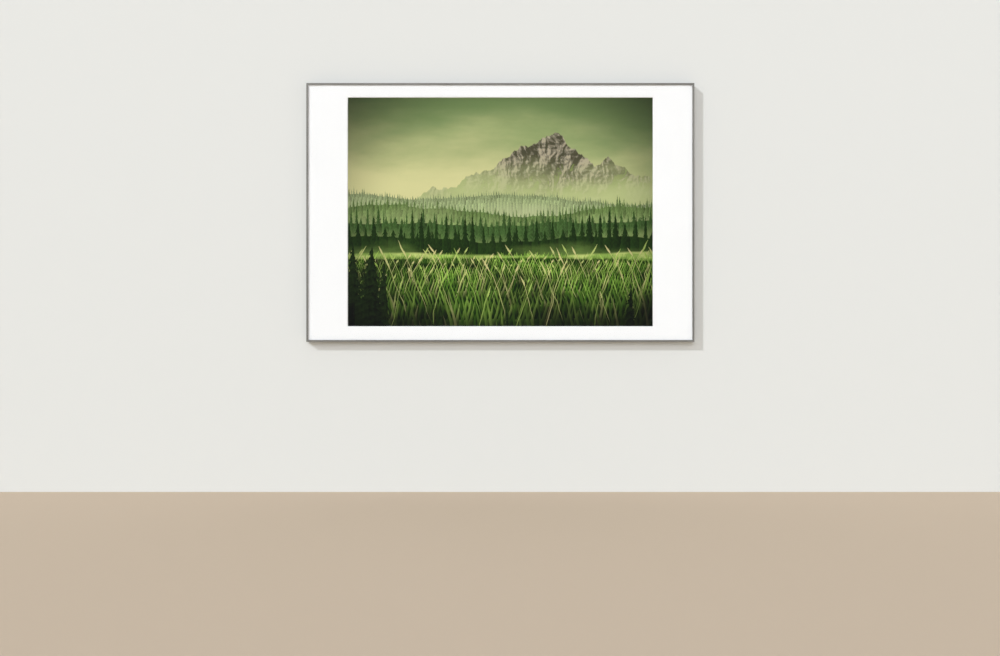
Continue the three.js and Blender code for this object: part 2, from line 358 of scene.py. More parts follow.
def node(kind, links=(), out=0, **settings):
    """Adds a shader node. Settings are its attributes, and links gives inputs a socket or a value.

    Links is a dict by input name or number, or a list in the inputs' order. The output asked for comes back.
    """
    tree = Bench.work.node_tree
    made = tree.nodes.new("ShaderNode" + kind)
    for name, value in settings.items():
        setattr(made, name, value)
    for name, value in links.items() if isinstance(links, dict) else enumerate(links):
        socket = made.inputs[name]
        if isinstance(value, bpy.types.NodeSocket):
            tree.links.new(value, socket)
        else:
            socket.default_value = (*value, 1) if socket.type == "RGBA" else value
    return made.outputs[out] if made.outputs else None


def take_up(work):
    """Puts a new material or world on the bench, with no nodes yet."""
    work.use_nodes = True
    work.node_tree.nodes.clear()
    Bench.work = work


def new_material(name, shown):
    """Starts a material that shows a colour in a plain viewport, and gives its Object coordinates."""
    take_up(bpy.data.materials.new(name))
    Bench.work.diffuse_color = (*shown, 1)
    return node("TexCoord", out="Object")


def finished(surface, relief=()):
    """Ends the material with a shader, or with what a principled one takes, and hands it over.

    A relief is a bump's strength, its depth in millimetres and its height.
    """
    if relief:
        strength, depth, height = relief
        surface["Normal"] = node("Bump", {"Strength": strength, "Distance": depth * MM, "Height": height})
    shader = node("BsdfPrincipled", surface) if isinstance(surface, dict) else surface
    node("OutputMaterial", {"Surface": shader})
    return Bench.work


def pitch(millimetres):
    """The scale of a pattern whose features are that far apart."""
    return 1 / (millimetres * MM)


def sums(*terms):
    """The sum of sockets, numbers and pairs, where the two of a pair are multiplied."""
    total = 0.0
    for term in terms:
        if isinstance(term, tuple):
            total = node("Math", [*term, total], operation="MULTIPLY_ADD")
        else:
            total = node("Math", [term, total], operation="ADD")
    return total


def lighten(shade, light):
    """A colour times a light level."""
    grey = node("CombineColor", [light, light, light])
    return node("Mix", {0: 1.0, 6: shade, 7: grey}, blend_type="MULTIPLY", **COLOURS)


def uneven(place, millimetres, low, high, detail=4):
    """A level that drifts between two values, over patches of a size in millimetres."""
    patches = node("TexNoise", {"Vector": place, "Scale": pitch(millimetres), "Detail": detail})
    return node("MapRange", [patches, 0.3, 0.7, low, high])


def anodised_aluminium(along):
    """Extruded aluminium, etched and anodised: a satin metal with faint draw lines along the rail."""
    place = new_material(f"anodised_aluminium_along_{along}", colours().rail)
    # Draw lines are about 0.5 mm apart and run on for a quarter of a metre.
    across, run = pitch(0.5), pitch(250)
    stretch = (run, across, across) if along == "x" else (across, across, run)
    drawn = node("Mapping", {"Vector": place, "Scale": stretch})
    lines = node("TexNoise", {"Vector": drawn, "Scale": 1, "Detail": 3})
    tone = node("MapRange", [lines, 0.3, 0.7, 0.93, 1.05])
    # The etch gives a fine even grain, drawn here at 0.8 mm so that it shows.
    grain = node("TexNoise", {"Vector": place, "Scale": pitch(0.8), "Detail": 2})
    height = sums((lines, 0.6), (grain, 0.4))
    return finished({
        "Base Color": lighten(colours().rail, tone),
        "Metallic": 1.0,
        "Roughness": uneven(place, 110, 0.46, 0.53),
    }, relief=(0.12, 0.02, height))


def clear_acrylic():
    """Cast acrylic with an anti-reflection coat: clear from the front, with a faint mirror at low angles."""
    new_material("coated_clear_acrylic", (0.9, 0.95, 0.95))
    # The coat takes away what a face mirrors head-on, and a little more.
    coated = sums(node("Fresnel", {"IOR": 1.12}), -0.004)
    # Only a face that is seen from outside mirrors, because light goes straight on through this sheet.
    outside = sums((node("NewGeometry", out="Backfacing"), -1.0), 1.0)
    mirror = sums((coated, outside))
    clear = node("BsdfTransparent", {"Color": (0.995, 0.998, 0.997)})
    gloss = node("BsdfGlossy", {"Color": (1, 1, 1), "Roughness": 0.03})
    return finished(node("MixShader", [mirror, clear, gloss]))


def mat_board(name, base, depth_mm):
    """Cotton mat board: a matte white with the fine felt texture of the paper machine, here 0.6 mm across."""
    place = new_material(name, base)
    felt = node("TexNoise", {"Vector": place, "Scale": pitch(0.6), "Detail": 3, "Roughness": 0.6})
    return finished({
        "Base Color": lighten(base, uneven(place, 160, 0.985, 1.0)),
        "Roughness": 0.85,
        "Specular IOR Level": 0.2,
    }, relief=(0.3, depth_mm, felt))


# The printed picture: a valley in morning mist, with a bare mountain on its right and a meadow in front.
# Its places are in picture heights from the picture's centre, x to the right and y up.

PICTURE = {
    "sky_high": "8BA06E",
    "sky_glow": "DAD7A6",
    "rock_dark": "4A4339",
    "rock": "8C8478",
    "rock_light": "BBB09D",
    "alp": "7F8F52",
    "mist": "C4CB98",
    "meadow_far": "9BB564",
    "bloom": "C9D48A",
    "blade_dark": "1F360C",
    "blade": "5F8A2E",
    "blade_light": "A9C766",
    "straw": "D9CE9C",
    "forest_near": "111A0A",
    "forest_rim": "3E5726",
}

# The mountain's peaks: middle, height, and how fast each side falls.
PEAKS = ((0.24, 0.35, 0.6, 0.9), (0.47, 0.235, 0.75, 0.5), (-0.06, 0.19, 0.42, 0.8))

# Wooded hills from far to near: colour, mist, seed, ridge, swing, waves across, trees, their height and
# tiers, and the mist's depth.
HILLS = (
    ("A2AE84", "C3C9A0", 11, 0.055, 0.16, 1.5, 60, 0.026, 90, 0.12),
    ("7D935C", "B9C18F", 26, 0, 0.19, 1.3, 40, 0.045, 70, 0.13),
    ("567340", "A9B87C", 47, -0.065, 0.2, 1.1, 27, 0.075, 55, 0.14),
    ("304A1C", "93AC64", 62.5, -0.135, 0.16, 1, 17, 0.125, 44, 0.15),
)

# Rows of grass from far to near: ridge, blades, height, lean, seed and brightness.
GRASS = (
    (-0.205, 170, 0.03, 0.25, 3, 1.25),
    (-0.23, 140, 0.045, -0.3, 14, 1.18),
    (-0.26, 115, 0.065, 0.35, 25, 1.1),
    (-0.3, 92, 0.09, -0.25, 36, 1),
    (-0.35, 74, 0.12, 0.3, 47, 0.9),
    (-0.405, 60, 0.155, -0.35, 58, 0.78),
    (-0.47, 48, 0.2, 0.22, 69, 0.62),
    (-0.54, 38, 0.25, -0.2, 80, 0.46),
)

# Dry stalks: foot, stalks, height, lean and seed.
STALKS = (
    (-0.28, 30, 0.13, 0.45, 5.3),
    (-0.33, 21, 0.2, -0.4, 16.6),
    (-0.4, 14, 0.28, 0.32, 27.1),
    (-0.5, 9, 0.38, -0.24, 38.9),
    (-0.58, 6, 0.47, 0.18, 49.2),
)


def ink(name):
    """A colour of the picture, by its name or as an sRGB hex value."""
    return linear(PICTURE.get(name, name))


def field(x, y, across, up, seed, detail=4, roughness=0.5):
    """Noise over the picture, with that many features across and up each picture height."""
    spot = node("CombineXYZ", [sums((x, across), seed), sums((y, up), seed * 0.7), 0])
    pattern = {"Vector": spot, "Scale": 1, "Detail": detail, "Roughness": roughness}
    return node("TexNoise", pattern, noise_dimensions="2D")


def wave(x, across, seed, base, swing, detail=5, roughness=0.5):
    """A ridge line: a height for each x."""
    return sums((field(x, x, across, 0, seed, detail, roughness), swing), base - swing / 2)


def stems(x, density, seed):
    """A row of stems, one in each cell: how far off the cell's stem is, to which side, and its luck."""
    place = sums((x, density), seed)
    cell = node("CombineXYZ", [node("Math", [place], operation="FLOOR"), seed, 0])
    dice = node("TexWhiteNoise", {"Vector": cell}, out="Color", noise_dimensions="2D")
    luck = node("SeparateColor", {"Color": dice}).node.outputs
    side = sums(node("Math", [place], operation="FRACT"), (luck[2], -0.4), -0.3)
    return node("Math", [side], operation="ABSOLUTE"), side, luck[0], luck[1]


def tapered(away, width):
    """A stem's height, from 1 at its middle down to 0 at a width."""
    return node("Clamp", [node("MapRange", [away, 0, width, 1, 0], clamp=False)])


def bark(x, y, density, tiers, seed):
    """What the rows of a wood share: groups of taller trees, and the ragged edges of their branches."""
    group = field(x, x, density / 5, 0, seed + 2, detail=2)
    return group, field(x, y, density * 8, tiers * 1.7, seed, detail=3, roughness=0.65)


def conifers(x, y, wood, ridge, density, tall, seed, tiers):
    """Spires with drooping tiers of branches: their upper edge and the light on them."""
    group, ragged = wood
    away, side, first, second = stems(x, density, seed)
    height = sums((sums((first, tall * 0.75), tall * 0.25), sums((group, 1.6), 0.2)))
    tier = node("Math", [sums((y, tiers), (away, 2.6), (second, 7))], operation="FRACT")
    slim = sums((second, 0.9), 0.75)
    reach = sums((sums((away, slim)), sums((tier, 0.7), (ragged, 1.9), -0.15)))
    spire = tapered(reach, 0.36)
    light = sums((side, -0.6), (tier, -0.22), (ragged, 1.1), (second, 0.25), 0.42)
    return sums(ridge, (spire, height)), light


def between(value, low, high, first, second, least=0, most=1):
    """The first colour where a value is low, and the second, or that share of it, where it is high."""
    share = node("MapRange", [value, low, high, least, most], **EASED)
    return node("Mix", {0: share, 6: first, 7: second}, **COLOURS)


def laid_over(below, y, top, edge, shade):
    """A colour laid over what is behind it, below an upper edge."""
    return between(sums(top, (y, -1)), -edge, edge, below, shade)


def sky(x, y):
    """A bright haze low down, with soft cloud and a darker height."""
    cloud = field(x, y, 1.3, 4.2, 3, detail=6, roughness=0.55)
    height = sums(y, (cloud, 0.46), (x, 0.12), -0.23)
    return between(height, 0.06, 0.52, ink("sky_glow"), ink("sky_high"))


def mountain(below, x, y):
    """A bare rock mountain with gullies, green on its lower slopes and lost in mist at its foot."""
    peaks = -1
    for place, height, left, right in PEAKS:
        away = sums(x, -place)
        falls = [sums((away, left), height), sums((away, -right), height)]
        slopes = node("Math", falls, operation="MINIMUM")
        peaks = node("Math", [slopes, peaks], operation="MAXIMUM")
    top = sums(peaks, wave(x, 9, 12, 0, 0.12, detail=9, roughness=0.62))
    # The rock's light comes from comparing its relief with the same relief a little to one side.
    bent = sums(x, (field(x, y, 4, 4, 41, detail=3), 0.12), -0.06)
    crags = {"across": 7, "up": 4.2, "seed": 17, "detail": 9, "roughness": 0.64}
    here = field(bent, y, **crags)
    aside = field(sums(bent, -0.008), sums(y, 0.007), **crags)
    relief = sums(here, (aside, -1))
    dark = between(relief, -0.04, 0.02, ink("rock_dark"), ink("rock"))
    stone = between(relief, 0.008, 0.05, dark, ink("rock_light"))
    patches = field(x, y, 9, 9, 23, detail=7, roughness=0.65)
    grassy = sums((y, -1.6), (patches, 0.9), (relief, -2), -0.28)
    slope = between(grassy, 0, 0.09, stone, ink("alp"), most=0.85)
    wisps = field(x, y, 2.4, 7, 29, detail=5)
    veiled = between(sums(y, (wisps, 0.22), -0.11), 0.05, 0.27, slope, ink("mist"), 0.93, 0.1)
    return laid_over(below, y, top, 0.002, veiled)


def wooded_hill(below, x, y, shade, mist, seed, base, swing, waves, density, tall, tiers, fade):
    """One wooded hill: three rows of trees down its face, fading into mist at its foot."""
    ridge = wave(x, waves, seed, base, swing)
    wood = bark(x, y, density, tiers, seed)
    wisps = field(x, y, 2.6, 9, seed + 9, detail=5)
    depth = sums(ridge, (y, -1), (wisps, fade * 1.3), -0.75 * fade)
    veil = node("MapRange", [depth, -0.1 * fade, fade, 0, 0.9], **EASED)
    picture = below
    for drop, crowd, level in ((0.1, 1.5, 0.86), (-0.45, 1, 1), (-1.15, 1.2, 1.08)):
        foot = sums(ridge, drop * tall)
        top, light = conifers(x, y, wood, foot, density * crowd, tall, seed + 40 * crowd, tiers)
        leaves = lighten(ink(shade), sums((light, level)))
        trees = node("Mix", {0: veil, 6: leaves, 7: ink(mist)}, **COLOURS)
        picture = laid_over(picture, y, top, 0.0016, trees)
    return picture


def grass_row(below, x, y, weather, base, density, tall, lean, seed, bright):
    """A row of blades, each in its own shade, dark at their feet."""
    gust, sun = weather
    bend = sums(x, (sums(y, -base), -lean), (gust, 0.025))
    away, side, first, second = stems(bend, density, seed)
    ridge = wave(x, 2.3, seed + 4, base, 0.05, detail=3)
    height = sums((first, tall * 0.75), tall * 0.25)
    top = sums(ridge, (tapered(away, 0.32), height))
    rise = sums(y, (ridge, -1))
    green = between(second, 0, 0.85, ink("blade"), ink("blade_light"))
    blade = between(second, 0.86, 0.9, green, ink("straw"), most=0.6)
    body = between(rise, -0.35 * tall, 0.53 * tall, ink("blade_dark"), blade)
    sunny = node("MapRange", [sun, 0.32, 0.68, 0.5, 1.45], **EASED)
    light = sums((sunny, sums((side, -0.9), 1)))
    return laid_over(below, y, top, 0.0014, lighten(body, sums((light, bright))))


def stalk_row(below, x, y, weather, base, density, tall, lean, seed):
    """Thin dry stalks with their seed heads, bowed to one side."""
    up = sums(y, -base)
    bend = sums(x, (up, -lean), (sums((up, up)), -1.6 * lean), (weather[0], 0.035))
    away, _, first, second = stems(bend, density, seed)
    height = sums((first, tall * 0.6), tall * 0.4)
    part = node("Math", [up, height], operation="DIVIDE")
    swells = node("MapRange", [part, 0.78, 0.86], **EASED)
    head = sums((swells, node("MapRange", [part, 0.86, 1, 1, 0], **EASED)))
    seeds = field(bend, y, density * 60, 160, seed, detail=2)
    width = sums(0.0009 * density, (sums((head, seeds)), 0.0065 * density))
    inside = node("Math", [width, away], operation="SUBTRACT")
    drawn = node("MapRange", [inside, -0.0007 * density, 0.0007 * density], **EASED)
    ended = sums((drawn, node("MapRange", [part, 1, 0.985], **EASED)))
    rooted = sums((ended, node("MapRange", [part, 0, 0.35], **EASED)))
    shade = node("Mix", {0: second, 6: ink("straw"), 7: ink("blade_light")}, **COLOURS)
    return node("Mix", {0: rooted, 6: below, 7: shade}, **COLOURS)


def meadow(below, x, y):
    """The meadow: soft and bright far off, then row before row of grass, with dry stalks between."""
    edge = wave(x, 1.3, 71, -0.185, 0.07, detail=3)
    soft = field(x, y, 10, 30, 91, detail=4)
    picture = laid_over(below, y, edge, 0.006, between(soft, 0.42, 0.66, ink("meadow_far"), ink("bloom")))
    weather = field(x, y, 3, 6, 5, detail=2), field(x, y, 3.2, 4.5, 101, detail=4)
    rows = [(grass_row, row) for row in GRASS] + [(stalk_row, row) for row in STALKS]
    for draw, row in sorted(rows, key=lambda item: -item[1][0]):
        picture = draw(picture, x, y, weather, *row)
    return picture


def near_trees(below, x, y):
    """Tall dark spruces that close the left side."""
    ridge = node("MapRange", [x, -0.6, -0.36, -0.4, -1.1], **EASED)
    picture = below
    for density, tall, seed in ((5.6, 0.62, 107.3), (4.4, 0.74, 131.8)):
        wood = bark(x, y, 2.2 * density, 30, seed)
        top, light = conifers(x, y, wood, ridge, density, tall, seed, 30)
        shade = between(light, 0.55, 1.5, ink("forest_near"), ink("forest_rim"))
        picture = laid_over(picture, y, top, 0.0016, shade)
    return picture


def vignette(picture, x, y):
    """The corners darken, as in a photograph taken with a wide aperture."""
    across = node("CombineXYZ", [sums((x, 1.32)), sums((y, 1.75)), 0])
    from_middle = node("VectorMath", [across], out=1, operation="LENGTH")
    return lighten(picture, node("MapRange", [from_middle, 0.6, 1.34, 1, 0.2], **EASED))


def valley_picture(x, y):
    picture = mountain(sky(x, y), x, y)
    for hill in HILLS:
        picture = wooded_hill(picture, x, y, *hill)
    picture = meadow(picture, x, y)
    picture = vignette(near_trees(picture, x, y), x, y)
    # Deeper darks and fuller greens, as printed.
    return node("Gamma", {"Color": picture, "Gamma": 1.25})


def photo_print():
    """Pigment print on matte photo paper: the picture, with hardly a sheen."""
    place = new_material("matte_photo_print", (0.3, 0.4, 0.2))
    height = sizes().window_height
    shift, scale = (0, 0, -sizes().window_rise / height), (1 / height, 1, 1 / height)
    spot = node("Mapping", {"Vector": place, "Location": shift, "Scale": scale})
    spot = node("SeparateXYZ", [spot]).node.outputs
    picture = valley_picture(spot["X"], spot["Z"])
    tooth = node("TexNoise", {"Vector": place, "Scale": pitch(0.9), "Detail": 2})
    return finished({
        "Base Color": picture,
        "Roughness": 0.6,
        "Specular IOR Level": 0.1,
    }, relief=(0.15, 0.03, tooth))


# Finishes of the back.

def paper(name, base, fibre_mm, rough=0.8):
    """Unbleached or coated paper: matte, with soft clouds of fibre."""
    place = new_material(name, base)
    fibres = node("TexNoise", {"Vector": place, "Scale": pitch(fibre_mm), "Detail": 5, "Roughness": 0.6})
    return finished({
        "Base Color": lighten(base, node("MapRange", [fibres, 0.3, 0.7, 0.86, 1.06])),
        "Roughness": rough,
    }, relief=(0.3, 0.05, fibres))


def pressed_hardboard():
    """Wood fibre pressed into board: brown and matte, with bundles of fibre 1 to 3 mm long and flecks."""
    place = new_material("pressed_hardboard", colours().hardboard)
    bundles = {"Vector": place, "Scale": pitch(2.2), "Detail": 6, "Roughness": 0.75, "Distortion": 0.8}
    fibres = node("TexNoise", bundles)
    fine = node("MapRange", [fibres, 0.32, 0.68, 0.72, 1.2])
    flecks = node("TexVoronoi", {"Vector": place, "Scale": pitch(7)})
    dots = node("MapRange", [flecks, 0.05, 0.16, 0.62, 1.0], **EASED)
    light = sums((sums((uneven(place, 70, 0.88, 1.1, 5), fine)), dots))
    return finished({
        "Base Color": lighten(colours().hardboard, light),
        "Roughness": 0.72,
    }, relief=(0.4, 0.1, fibres))


def plated_steel(name, base, rough, blotch_mm):
    """Steel sheet with a thin plating or oxide: metallic, with soft blotches and rubbed spots."""
    place = new_material(name, base)
    blotch = node("TexNoise", {"Vector": place, "Scale": pitch(blotch_mm), "Detail": 4, "Roughness": 0.6})
    grit = node("TexNoise", {"Vector": place, "Scale": pitch(0.5), "Detail": 2})
    return finished({
        "Base Color": lighten(base, node("MapRange", [blotch, 0.3, 0.7, 0.82, 1.06])),
        "Metallic": 1.0,
        "Roughness": node("MapRange", [blotch, 0.3, 0.7, rough + 0.08, rough - 0.05]),
    }, relief=(0.15, 0.02, grit))


def moulded_rubber():
    """Moulded rubber: near black and matte, with a dusty bloom."""
    place = new_material("moulded_rubber", colours().rubber)
    bloom = uneven(place, 3, 0.0, 0.2)
    dusty = node("Mix", {0: bloom, 6: colours().rubber, 7: linear("616161")}, **COLOURS)
    return finished({"Base Color": dusty, "Roughness": 0.75})


# Rails.

def rail_section(run):
    """A square-ended rail along X with its outer side at Z = 0, its section extruded from its side wall."""
    s = sizes()
    far = s.rail_wall + s.channel_width
    lip = BACK - s.channel_sheet
    floor = lip - s.channel_depth
    rib = floor - s.channel_sheet
    piece = block("rail", (-run / 2, FRONT, 0), (run / 2, BACK, s.rail_wall))

    def pick_face(depths, rises, **way):
        """Selects the long face that points a way, whose middle is between two depths and two rises."""
        def fits(face):
            centre = face.calc_center_median()
            return facing(face, **way) and depths[0] < centre.y < depths[1] and rises[0] < centre.z < rises[1]
        pick("faces", fits)

    start_edit(piece)
    for depth in (FRONT + s.rail_wall, rib, floor, lip):
        split_at((0, depth, 0), (0, 1, 0))
    # The front lip, then the channel's floor and its far wall.
    pick_face((FRONT, FRONT + s.rail_wall), (0, far), z=1)
    extrude((0, 0, s.rail_face - s.rail_wall))
    pick_face((rib, floor), (0, far), z=1)
    extrude((0, 0, s.channel_width))
    extrude((0, 0, s.rail_wall))
    pick_face((rib, lip), (far, far + s.rail_wall), y=1)
    extrude((0, lip - floor, 0))
    extrude((0, BACK - lip, 0))
    # The two lips that close in over the channel.
    pick_face((lip, BACK), (s.rail_face, far + s.rail_wall), z=-1)
    extrude((0, 0, -s.channel_lip))
    pick_face((lip, BACK), (0, s.rail_face), z=1)
    extrude((0, 0, s.channel_lip))
    merge()
    bpy.ops.mesh.dissolve_limited(angle_limit=math.radians(2))
    end_edit()
    return piece


def mitred_rail(run):
    """A rail with rounded edges, both ends cut at 45 degrees and closed."""
    piece = rail_section(run)
    # The ends are square while the edges are rounded, so the mitre cuts clean through the rounding.
    round_edges(piece, sizes().rail_round, segments=3)
    reach = run / 2 - sizes().mitre_gap * math.sqrt(0.5)
    start_edit(piece)
    for end in (-1, 1):
        split_at((end * reach, 0, 0), (end, 0, 1), use_fill=True, clear_outer=True)
    merge()
    end_edit()
    smooth(piece)
    return piece


class FRAMED_PRINT_OT_rails(bpy.types.Operator):
    """Adds the four mitred rails"""

    bl_idname = "framed_print.rails"
    bl_label = "Rails"

    def execute(self, context):
        low, high = Vector((LEFT, 0, BOTTOM)), Vector((RIGHT, 0, TOP))
        for run, along, sides in (
            (RIGHT - LEFT, "x", ("bottom", "top")),
            (TOP - BOTTOM, "z", ("left", "right")),
        ):
            places = [(f"frame_rail_{side}", *on_side(side, low, high), f"rail_{side}") for side in sides]
            set_out(mitred_rail(run), anodised_aluminium(along), "anodised_aluminium", places)
        return {"FINISHED"}


# The stack: glazing, mat, print and boards.

class FRAMED_PRINT_OT_glazing(bpy.types.Operator):
    """Adds the clear sheet, with its edges broken"""

    bl_idname = "framed_print.glazing"
    bl_label = "Glazing"

    def execute(self, context):
        sheet = block("glazing_sheet", *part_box("glazing"))
        soften(sheet, "glazing")
        fit(sheet, clear_acrylic(), "clear_acrylic", "glazing")
        return {"FINISHED"}


class FRAMED_PRINT_OT_window_mat(bpy.types.Operator):
    """Adds the mat, whose window is cut at 45 degrees, wider at its face than at the print"""

    bl_idname = "framed_print.window_mat"
    bl_label = "Window Mat"

    def execute(self, context):
        s = sizes()
        low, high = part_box("window_mat")
        thick = high.y - low.y
        half_width, half_height = s.window_width / 2, s.window_height / 2

        def in_window(place, margin=0.0):
            return abs(place.x) < half_width + margin and abs(place.z - s.window_rise) < half_height + margin

        piece = block("mat_with_window", low, high)
        start_edit(piece)
        for x in (-half_width, half_width):
            split_at((x, 0, 0), (1, 0, 0))
        for z in (-half_height, half_height):
            split_at((0, 0, s.window_rise + z), (0, 0, 1))
        pick("faces", lambda f: abs(f.normal.y) > 0.9 and in_window(f.calc_center_median()))
        bpy.ops.mesh.bridge_edge_loops()
        pick("verts", lambda v: v.co.y < low.y + thick / 2 and in_window(v.co, thick))
        wider, higher = 1 + thick / half_width, 1 + thick / half_height
        bpy.ops.transform.resize(value=(wider, 1, higher), center_override=(0, 0, s.window_rise))
        end_edit()
        face = mat_board("cotton_mat_board", colours().mat, 0.05)
        core = mat_board("mat_board_core", colours().mat_core, 0.02)
        fit(piece, (face, core), "mat_board", "window_mat")
        for polygon in piece.data.polygons:
            polygon.material_index = 1 if 0.1 < abs(polygon.normal.y) < 0.9 else 0
        return {"FINISHED"}


class FRAMED_PRINT_OT_printed_sheet(bpy.types.Operator):
    """Adds the print"""

    bl_idname = "framed_print.printed_sheet"
    bl_label = "Printed Sheet"

    def execute(self, context):
        piece = block("photo_print", *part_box("print_sheet"))
        soften(piece, "print", segments=1)
        fit(piece, photo_print(), "print_paper", "print_sheet")
        self.map_flat(piece)
        return {"FINISHED"}

    def map_flat(self, piece):
        """Maps the sheet for a bake: its front fills the map's width, and the rest shares a strip above."""
        layer = piece.data.uv_layers.new(name="OFBake")
        low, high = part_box("print_sheet")
        wide = high.x - low.x + 10 * MM
        strip = (high.z - low.z) / wide + 0.02
        for polygon in piece.data.polygons:
            share, base = (1, 0) if polygon.normal.y < -0.9 else (0.25, strip)
            for corner in polygon.loop_indices:
                x, y, z = share * (piece.data.vertices[piece.data.loops[corner].vertex_index].co - low)
                layer.data[corner].uv = (x + y) / wide, base + (z + y) / wide


class FRAMED_PRINT_OT_backing(bpy.types.Operator):
    """Adds the backing board and the tape that seals its edge, and finishes the foam board"""

    bl_idname = "framed_print.backing"
    bl_label = "Backing"

    def execute(self, context):
        refinish("foam_board", paper("coated_foam_board_paper", colours().foam, 1.5))
        board = block("hardboard_back", *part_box("backing_board"))
        soften(board, "board")
        fit(board, pressed_hardboard(), "hardboard", "backing_board")
        self.tape(*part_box("backing_board"))
        return {"FINISHED"}

    def tape(self, low, high):
        """Two short strips, and two long ones laid over their ends."""
        s = sizes()
        finish = paper("gummed_kraft_tape", colours().tape, 3.0, 0.6)
        for run, depth, sides in (
            (high.z - low.z, high.y, ("left", "right")),
            (high.x - low.x, high.y + s.tape_sheet, ("bottom", "top")),
        ):
            strip = block("strip", (-run / 2, 0, 0), (run / 2, s.tape_sheet, s.tape_width))
            soften(strip, "tape", segments=1)
            places = [(f"sealing_tape_{side}", *on_side(side, low, high, depth)) for side in sides]
            set_out(strip, finish, "hardboard", places)


# Fittings. What repeats is modelled once, at its depth and about X = Z = 0.

def bowed_clip():
    """A spring clip along X: a strip spun both ways from its middle into a shallow bow."""
    s = sizes()
    low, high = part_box("spring_bottom_1")
    chord, width = high.x - low.x, high.z - low.z
    bow = high.y - low.y - s.spring_sheet
    radius = (chord**2 / 4 + bow**2) / (2 * bow)
    stub, steps = 0.4 * MM, 9  # half of the straight middle that the bow starts from, and each half's steps
    spread = math.asin((chord / 2 - stub) / radius)
    piece = block("clip", (-stub, low.y, -width / 2), (stub, low.y + s.spring_sheet, width / 2))
    start_edit(piece)
    for end in (-1, 1):
        pick("faces", lambda f: facing(f, x=end))
        bpy.ops.mesh.spin(
            steps=steps, angle=spread, center=(end * stub, low.y + radius, 0), axis=(0, 0, -end)
        )
    merge()
    pick("edges", lambda e: abs(e.verts[0].co.x) > 0.45 * chord and e.calc_length() < 1.1 * s.spring_sheet)
    bpy.ops.mesh.bevel(offset=s.spring_corner, segments=4)
    end_edit()
    soften(piece, "clip")
    return piece


def set_screw():
    """A slotted set screw with a chamfered end."""
    low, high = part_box("corner_screw_bottom_left_1")
    slot = sizes().driver_slot
    wide = high.x - low.x
    piece = rod("screw", (0, 0), wide / 2, low.y, high.y)
    round_rim(piece, sizes().screw_chamfer, 2)
    cut_out(piece, block("slot", (-wide, high.y - slot, -slot / 2), (wide, high.y + slot, slot / 2)))
    soften(piece, "screw", segments=1)
    return piece


def pan_head_screw():
    """A pan-head screw: a shank, a domed head and a cross recess."""
    s = sizes()
    low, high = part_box("hanger_screw_left_1")
    radius = (high.x - low.x) / 2
    under = high.y - s.head_height
    piece = rod("screw", (0, 0), radius, under, high.y)
    round_rim(piece, s.head_round, 5)
    start_edit(piece)
    pick("faces", lambda f: facing(f, y=-1))
    bpy.ops.mesh.inset(thickness=radius - s.shank_radius)
    extrude((0, low.y - under, 0))
    end_edit()
    arm, half = radius / 2, s.driver_slot / 2
    floor, clear = high.y - s.recess_depth, high.y + s.head_height
    cut_out(
        piece,
        block("across", (-arm, floor, -half), (arm, clear, half)),
        block("upright", (-half, floor, -arm), (half, clear, arm)),
    )
    soften(piece, "screw", segments=1)
    return piece


def keyhole_plate():
    """A plate with rounded corners, a keyhole and two screw holes."""
    s = sizes()
    low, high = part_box("hanger_plate_left")
    half = (high.x - low.x) / 2
    piece = block("plate", (-half, low.y, low.z), (half, high.y, high.z))
    start_edit(piece)
    pick("edges", lambda e: abs(e.verts[0].co.y - e.verts[1].co.y) > 0.5 * MM)
    bpy.ops.mesh.bevel(offset=s.plate_corner, segments=6)
    end_edit()
    front, back = low.y - half, high.y + half
    entry, rest = high.z - s.keyhole_drop, high.z - s.keyhole_rest
    holes = [middle(name) for name in nodes_named("hanger_screw_left_")]
    centre = middle("hanger_plate_left").x
    cut_out(
        piece,
        rod("entry", (0, entry), s.keyhole_entry, front, back, sides=48),
        block("slot", (-s.keyhole_slot / 2, front, entry), (s.keyhole_slot / 2, back, rest)),
        *(rod("hole", (hole.x - centre, hole.z), s.screw_hole, front, back) for hole in holes),
    )
    soften(piece, "plate")
    return piece


def rubber_bumper():
    """A round bumper with a rounded rim."""
    low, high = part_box("bumper_bottom_left")
    piece = rod("bumper", (0, 0), (high.x - low.x) / 2, low.y, high.y, sides=40)
    round_rim(piece, sizes().bumper_round, 4)
    soften(piece, "bumper", segments=1)
    return piece


class FRAMED_PRINT_OT_springs(bpy.types.Operator):
    """Adds the bowed spring clips behind the backing board"""

    bl_idname = "framed_print.springs"
    bl_label = "Spring Clips"

    def execute(self, context):
        places = []
        for name in nodes_named("spring_"):
            low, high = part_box(name)
            upright = high.z - low.z > high.x - low.x
            places.append((f"clip_{name}", 90 if upright else 0, middle(name), name))
        finish = plated_steel("tempered_spring_steel", colours().spring, 0.4, 9)
        set_out(bowed_clip(), finish, "spring_steel", places)
        return {"FINISHED"}


class FRAMED_PRINT_OT_corner_fittings(bpy.types.Operator):
    """Adds the set screws, each turned as it came to rest, and finishes the corner plates"""

    bl_idname = "framed_print.corner_fittings"
    bl_label = "Corner Fittings"

    def execute(self, context):
        zinc = plated_steel("zinc_plated_steel", colours().zinc, 0.32, 5)
        refinish("corner_plate_", zinc)
        refinish("pressure_plate_", zinc)
        set_out(set_screw(), zinc, "zinc_steel", places_of("corner_screw_", "slotted", 5, 180))
        return {"FINISHED"}


